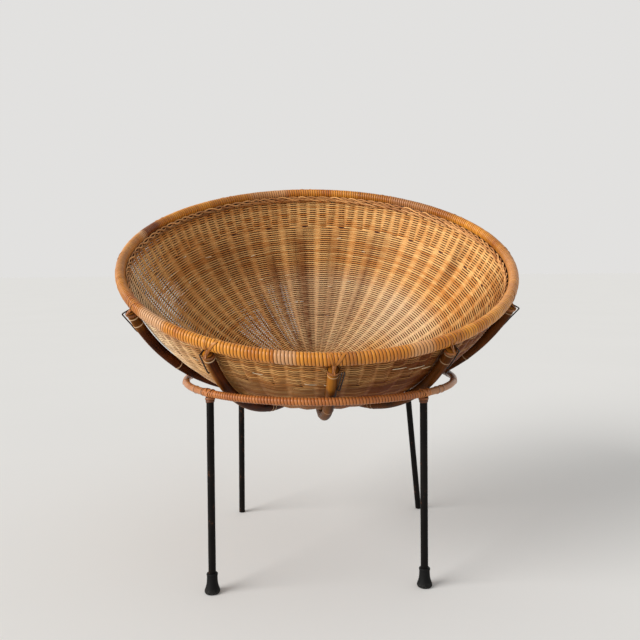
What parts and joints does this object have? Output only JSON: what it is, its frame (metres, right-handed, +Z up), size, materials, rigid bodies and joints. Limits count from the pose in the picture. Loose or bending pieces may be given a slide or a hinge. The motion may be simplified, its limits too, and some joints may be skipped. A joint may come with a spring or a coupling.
{
  "type": "basket chair",
  "caption": "Round woven cane bowl with a wrapped rim and pole ribs, resting tilted in the wrapped ring of a steel rod stand on straight legs.",
  "frame": {"origin": "on the floor, under the middle of the chair's outline", "axes": "+Z up, the open side of the bowl and the sitter face -Y, +X is the right-hand side in the picture"},
  "size_m": [0.8056, 0.737, 0.751],
  "materials": {
    "paint": "worn satin black paint",
    "rubber": "dull black rubber",
    "ring_cane": "wound cane, satin",
    "rim_cane": "wound cane, satin",
    "pole_core": "bare cane pole",
    "weave": "woven cane, matt",
    "plait": "plaited cane, matt",
    "pole": "dark stained cane pole, satin",
    "wire": "dull drawn wire"
  },
  "bodies": {
    "stand": {"stand_ring": "paint", "leg_front_left": "paint", "leg_lashing_front_left": "ring_cane", "leg_front_right": "paint", "leg_lashing_front_right": "ring_cane", "leg_back_right": "paint", "leg_lashing_back_right": "ring_cane", "leg_back_left": "paint", "leg_lashing_back_left": "ring_cane", "ring_cane_front": "ring_cane", "ring_cane_right": "ring_cane", "ring_cane_back": "ring_cane", "ring_cane_left": "ring_cane", "foot_cap_front_left": "rubber", "foot_cap_front_right": "rubber"},
    "seat": {"woven_bowl": "weave", "rim_hoop": "pole_core", "border_plait": "plait", "bottom_hoop": "pole", "rib_01": "pole", "rib_wire_01": "wire", "rim_cane_01": "rim_cane", "rib_02": "pole", "rib_wire_02": "wire", "rim_cane_02": "rim_cane", "rib_03": "pole", "rib_wire_03": "wire", "rim_cane_03": "rim_cane", "rib_04": "pole", "rib_wire_04": "wire", "rim_cane_04": "rim_cane", "rib_05": "pole", "rib_wire_05": "wire", "rim_cane_05": "rim_cane", "rib_06": "pole", "rib_wire_06": "wire", "rim_cane_06": "rim_cane", "rib_07": "pole", "rib_wire_07": "wire", "rim_cane_07": "rim_cane", "rib_08": "pole", "rib_wire_08": "wire", "rim_cane_08": "rim_cane", "rib_09": "pole", "rib_wire_09": "wire", "rim_cane_09": "rim_cane", "rib_10": "pole", "rib_wire_10": "wire", "rim_cane_10": "rim_cane", "rib_11": "pole", "rib_wire_11": "wire", "rim_cane_11": "rim_cane", "rib_12": "pole", "rib_wire_12": "wire", "rim_cane_12": "rim_cane"}
  },
  "joints": [
    {"name": "seat_tilt", "type": "hinge", "parent": "stand", "child": "seat", "pos_m": [0.00342, -0.05821, 0.6904], "axis": [1, 0, 0], "range_deg": [-24.5, 4.5]}
  ]
}
